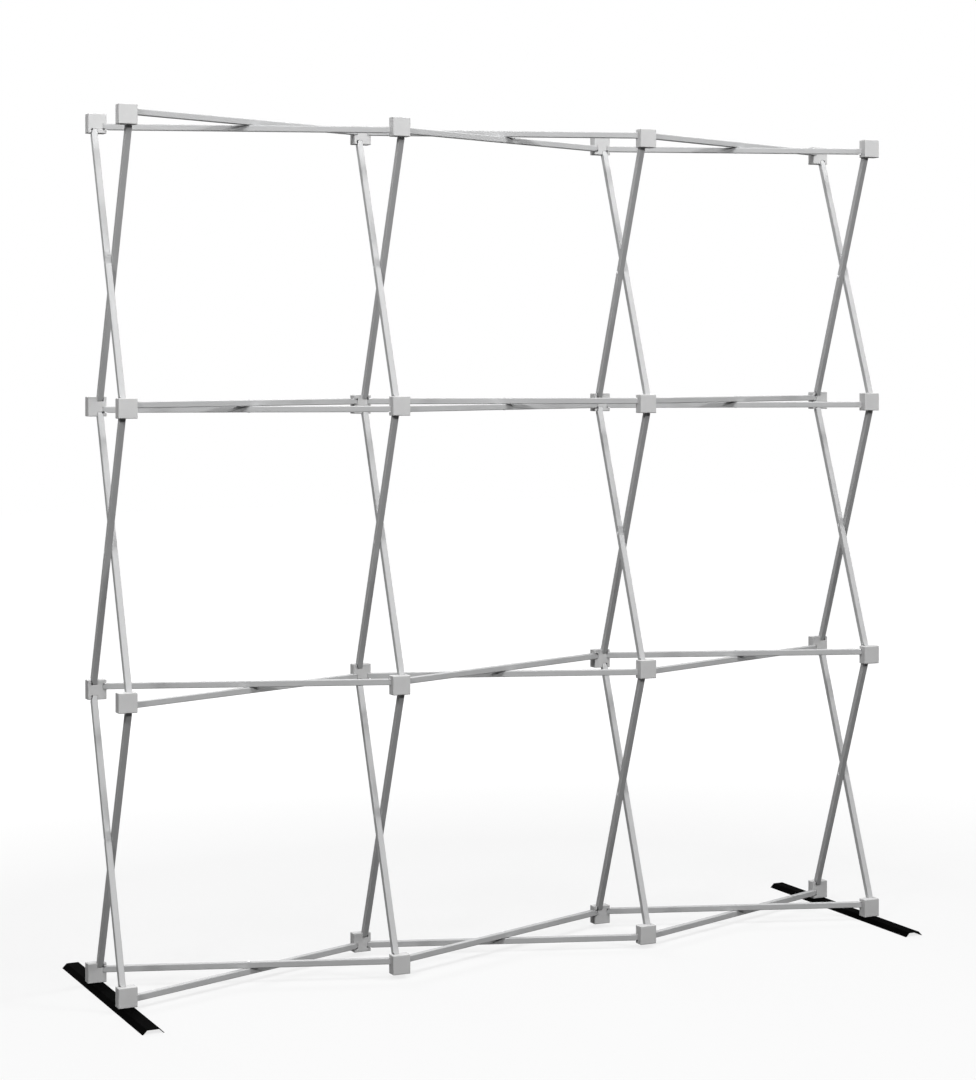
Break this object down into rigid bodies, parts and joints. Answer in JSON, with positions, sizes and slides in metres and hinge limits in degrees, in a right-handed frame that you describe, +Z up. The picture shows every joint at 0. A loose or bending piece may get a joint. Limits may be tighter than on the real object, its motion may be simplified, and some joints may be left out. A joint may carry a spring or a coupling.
{
  "type": "pop-up display frame",
  "caption": "Free-standing pop-up display backwall frame: a straight square lattice of crossed aluminium bars between grey hubs, on long black feet.",
  "frame": {"origin": "on the floor, in the middle of the frame's width and depth", "axes": "+X to the right as seen from the front, +Y from the front layer of hubs to the back layer, +Z up"},
  "size_m": [2.2682, 0.745, 2.2751],
  "materials": {
    "bar_alloy": "satin, drawn square tube",
    "hub_resin": "fine moulded texture",
    "plug_resin": "moulded",
    "pin_steel": "plated",
    "foot_coat": "matt black powder coat"
  },
  "bodies": {
    "frame": {"row1_bay1_bar_from_front": "bar_alloy", "row1_bay1_bar_from_back": "bar_alloy", "row1_bay2_bar_from_front": "bar_alloy", "row1_bay2_bar_from_back": "bar_alloy", "row1_bay3_bar_from_front": "bar_alloy", "row1_bay3_bar_from_back": "bar_alloy", "row2_bay1_bar_from_front": "bar_alloy", "row2_bay1_bar_from_back": "bar_alloy", "row2_bay2_bar_from_front": "bar_alloy", "row2_bay2_bar_from_back": "bar_alloy", "row2_bay3_bar_from_front": "bar_alloy", "row2_bay3_bar_from_back": "bar_alloy", "row3_bay1_bar_from_front": "bar_alloy", "row3_bay1_bar_from_back": "bar_alloy", "row3_bay2_bar_from_front": "bar_alloy", "row3_bay2_bar_from_back": "bar_alloy", "row3_bay3_bar_from_front": "bar_alloy", "row3_bay3_bar_from_back": "bar_alloy", "row4_bay1_bar_from_front": "bar_alloy", "row4_bay1_bar_from_back": "bar_alloy", "row4_bay2_bar_from_front": "bar_alloy", "row4_bay2_bar_from_back": "bar_alloy", "row4_bay3_bar_from_front": "bar_alloy", "row4_bay3_bar_from_back": "bar_alloy", "column1_bay1_bar_from_front": "bar_alloy", "column1_bay1_bar_from_back": "bar_alloy", "column1_bay2_bar_from_front": "bar_alloy", "column1_bay2_bar_from_back": "bar_alloy", "column1_bay3_bar_from_front": "bar_alloy", "column1_bay3_bar_from_back": "bar_alloy", "column2_bay1_bar_from_front": "bar_alloy", "column2_bay1_bar_from_back": "bar_alloy", "column2_bay2_bar_from_front": "bar_alloy", "column2_bay2_bar_from_back": "bar_alloy", "column2_bay3_bar_from_front": "bar_alloy", "column2_bay3_bar_from_back": "bar_alloy", "column3_bay1_bar_from_front": "bar_alloy", "column3_bay1_bar_from_back": "bar_alloy", "column3_bay2_bar_from_front": "bar_alloy", "column3_bay2_bar_from_back": "bar_alloy", "column3_bay3_bar_from_front": "bar_alloy", "column3_bay3_bar_from_back": "bar_alloy", "column4_bay1_bar_from_front": "bar_alloy", "column4_bay1_bar_from_back": "bar_alloy", "column4_bay2_bar_from_front": "bar_alloy", "column4_bay2_bar_from_back": "bar_alloy", "column4_bay3_bar_from_front": "bar_alloy", "column4_bay3_bar_from_back": "bar_alloy", "front_middle_hubs": "hub_resin", "front_edge_hubs": "hub_resin", "front_corner_hubs": "hub_resin", "back_middle_hubs": "hub_resin", "back_edge_hubs": "hub_resin", "back_corner_hubs": "hub_resin", "bar_end_plugs": "plug_resin", "hub_pins": "pin_steel", "centre_rivets": "pin_steel", "foot_pegs": "pin_steel"},
    "left_foot": {"left_foot": "foot_coat"},
    "right_foot": {"right_foot": "foot_coat"}
  },
  "joints": [
    {"name": "left_foot_pull", "type": "slide", "parent": "frame", "child": "left_foot", "axis": [0, 0, -1], "range_m": [0, 0.03]},
    {"name": "right_foot_pull", "type": "slide", "parent": "frame", "child": "right_foot", "axis": [0, 0, -1], "range_m": [0, 0.03]}
  ]
}
